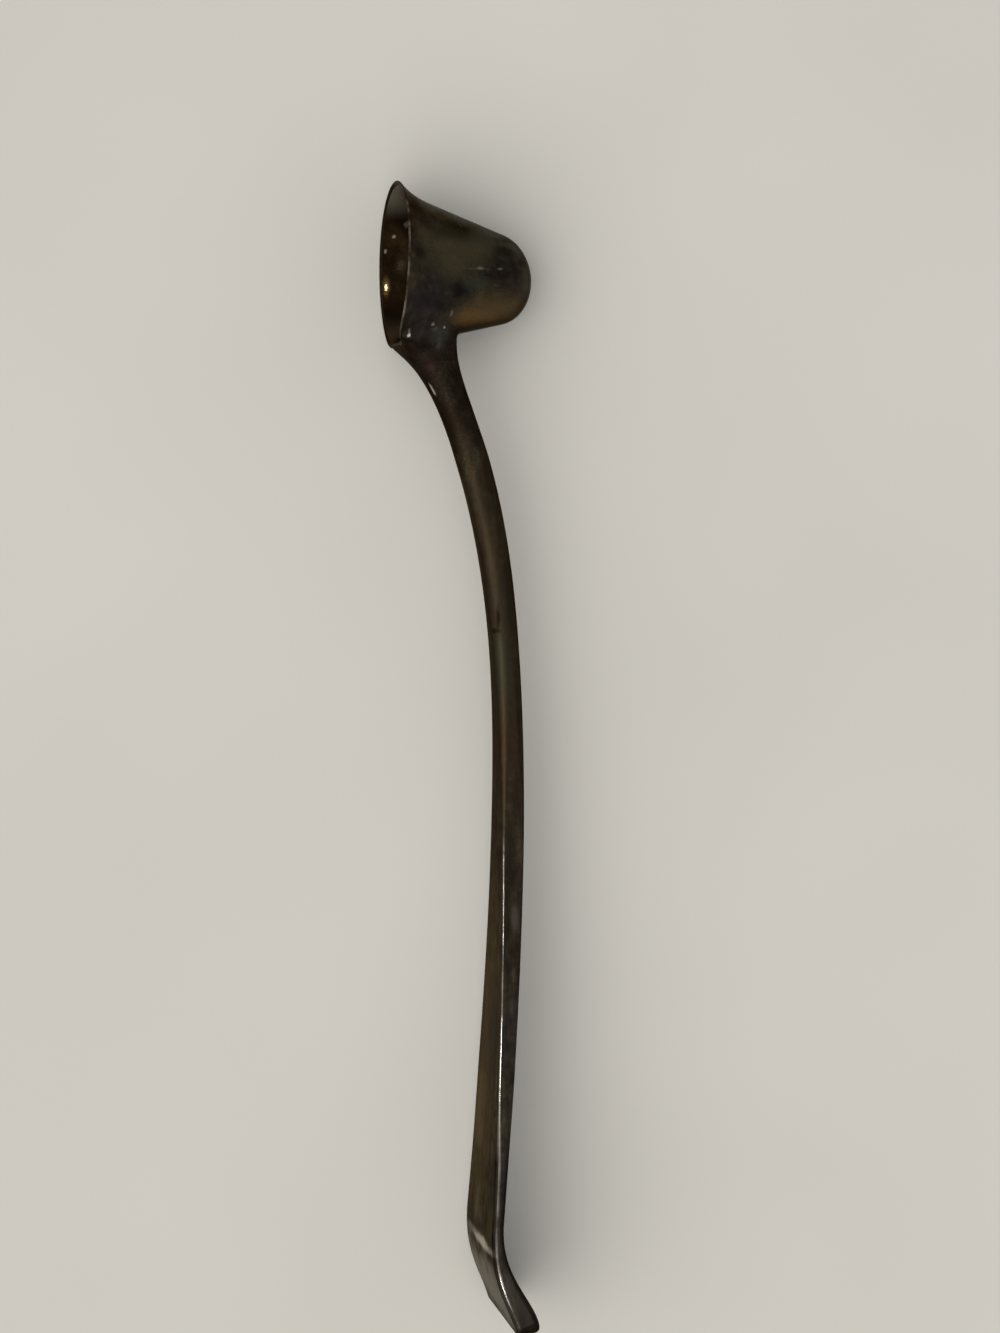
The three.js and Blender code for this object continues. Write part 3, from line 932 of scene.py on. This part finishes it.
def handle_plate():
    """Forged silver plate, nearly black and half gloss: streaks along the bar, a browner front and back
    of the blade that is partly painted reflection and sheen, edges rubbed bright by fingers with painted
    highlights on them, and painted dark reflection beside them."""
    material, tree, place = start_metal("tarnished_silver_plate_handle")
    colour, roughness, height = coat(tree, place, NECK_MARKS + HANDLE_MARKS, FOOT_MARKS)

    # Sides, faces and the round edges between them, told apart by the way they face
    normal = add(tree, "NewGeometry", {}, give="Normal")
    sideways = facing(tree, normal, side_way)
    square = reckon(tree, "MULTIPLY", sideways, sideways)
    slope = reckon(tree, "SUBTRACT", 1.0, square)
    edge = reckon(tree, "MULTIPLY", square, slope)
    forward = facing(tree, normal, crown_way)
    ahead = span(tree, forward, *FRONT_ON)
    on_front = reckon(tree, "MULTIPLY", slope, ahead)
    on_back = reckon(tree, "MULTIPLY", slope, span(tree, forward, *BACK_ON))
    rag = noise(tree, place, FACE_RAG_SIZE, 3, Roughness=0.55)
    # Front and back faces get their own colours, partly painted reflection and sheen
    for on_face, marks in ((on_front, FRONT_TONE_AND_REFLECTION_MARKS), (on_back, BACK_TONE_AND_SHEEN_MARKS)):
        colour = tint(tree, on_face, colour, lay_marks(tree, place, colour, rag, marks))

    # Painted dark reflection along the blade's edges
    along = add(tree, "SeparateXYZ", {"Vector": place}, give="Y")
    low = span(tree, along, *END_ON)
    held_and_glints = add(tree, "ValToRGB", {"Fac": span(tree, along, *GRIP)}, ramp=GRIP_WEAR_AND_GLINT_RAMP)
    dark_edge_reach = reckon(tree, "MAXIMUM", held_and_glints, low)
    dark_edge_share = reckon(tree, "MULTIPLY", span(tree, edge, *EDGE_DARK_REFLECTION_ON), dark_edge_reach)
    colour = tint(tree, dark_edge_share, colour, linear(EDGE_DARK_REFLECTION))

    # Bare silver on the edge's middle, and on its shoulder towards the end: rubbed by fingers, with painted
    # highlights where the ramp runs bright and along the shoulder's strip
    shoulder = span(tree, square, *EDGE_SHOULDER)
    ledge = reckon(tree, "MULTIPLY", shoulder, span(tree, slope, *EDGE_FLAT))
    turned = blend(tree, low, span(tree, edge, *EDGE_MIDDLE), ledge)
    worn_and_glints = reckon(tree, "MULTIPLY", turned, held_and_glints)
    front_wear_and_glints = reckon(tree, "MULTIPLY", worn_and_glints, span(tree, ahead, *FRONT_RUB_AND_GLINT))
    wear_and_glint_noise = noise(tree, place, WEAR_AND_GLINT_SIZE, 5, Roughness=0.7)
    # Bare silver from wear together with the painted highlights
    rubbed = reckon(tree, "MULTIPLY", front_wear_and_glints, span(tree, wear_and_glint_noise, *BARE_AND_GLINT_ON))
    colour = tint(tree, rubbed, colour, linear(BARE_SILVER_AND_GLINT))

    # Duller than the cup, with more sheen on the back and polish on the edges
    sheen = reckon(tree, "MULTIPLY_ADD", on_back, BACK_SHEEN, span(tree, along, *DULL))
    satin = reckon(tree, "ADD", roughness, sheen)
    polished = reckon(tree, "MULTIPLY", front_wear_and_glints, POLISH_GAIN, use_clamp=True)
    smooth = blend(tree, polished, satin, POLISHED)
    finish_metal(tree, colour, smooth, height, HANDLE_BUMP)
    return material


def solder_metal():
    """Silver solder filed flush and tarnished like the plate: the same film, scuffs and a grey bloom."""
    material, tree, place = start_metal("tarnished_silver_solder")
    colour, roughness, height = coat(tree, place, NECK_MARKS + CUP_MARKS, FOOT_MARKS)
    finish_metal(tree, colour, roughness, height, CUP_BUMP)
    return material


def floor_paint():
    """Matt pale paint with the faintest unevenness."""
    material, tree, place = new_material("matt_pale_paint")
    drift = noise(tree, place, FLOOR_DRIFT, 2)
    colour = add(tree, "ValToRGB", {"Fac": drift}, ramp=FLOOR_RAMP)
    feed(tree, tree.nodes["Principled BSDF"], {"Base Color": colour, "Roughness": FLOOR_ROUGHNESS})
    return material


# Assembly

def dress(piece, node, slot, *materials):
    """Give a piece its materials and let it stand for its solid."""
    for material in materials:
        piece.data.materials.append(material)
    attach(piece, "root")
    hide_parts(node)


def lines_hollow(face):
    """True for the faces of the cup's inner wall."""
    middle = face.calc_center_median() / MM
    return from_axis(middle).length < radius_at(cup_middle, middle.x, 0.0)


def edges_lip(face):
    """True for the faces of the lip's flat edge and its rounding."""
    return face.calc_center_median().x < LIP_ROUND * MM


cup = make_cup()
handle = make_handle()
fillet = make_fillet()
dress(cup, "bell_cup", "cup_plate", cup_plate(), cup_lining(), lip_metal())
dress(handle, "handle", "handle_plate", handle_plate())
dress(fillet, "solder_seam", "solder", solder_metal())
paint_faces(cup, 1, lines_hollow)
paint_faces(cup, 2, edges_lip)
dent(cup)
for piece in (cup, handle, fillet):
    lay_down(piece)


# Table, light and camera

bpy.ops.mesh.primitive_plane_add(size=FLOOR_SIZE)
floor = bpy.context.object
floor.name = "floor"
floor.data.materials.append(floor_paint())

for place, power in LAMPS:
    bpy.ops.object.light_add(type="AREA", location=place)
    lamp = bpy.context.object
    lamp.visible_diffuse = False
    lamp.rotation_euler = place.to_track_quat("Z", "Y").to_euler()
    lamp.data.size = LAMP_SIZE
    lamp.data.energy = power

world = bpy.data.worlds.new("soft_room")
bpy.context.scene.world = world
world.use_nodes = True
sky = world.node_tree
rise = facing(sky, add(sky, "TexCoord", {}, give="Generated"), CEILING_WAY)
glow = add(sky, "ValToRGB", {"Fac": rise}, ramp=CEILING_RAMP)
feed(sky, sky.nodes["Background"], {"Color": glow, "Strength": CEILING_LIGHT})

bpy.ops.object.camera_add(location=CAMERA_PLACE, rotation=CAMERA_TURN)
camera = bpy.context.object
camera.data.lens = CAMERA_LENS
camera.data.sensor_width = CAMERA_SENSOR
camera.data.clip_start = CAMERA_NEAR
bpy.context.scene.camera = camera
bpy.context.scene.view_settings.view_transform = "Standard"
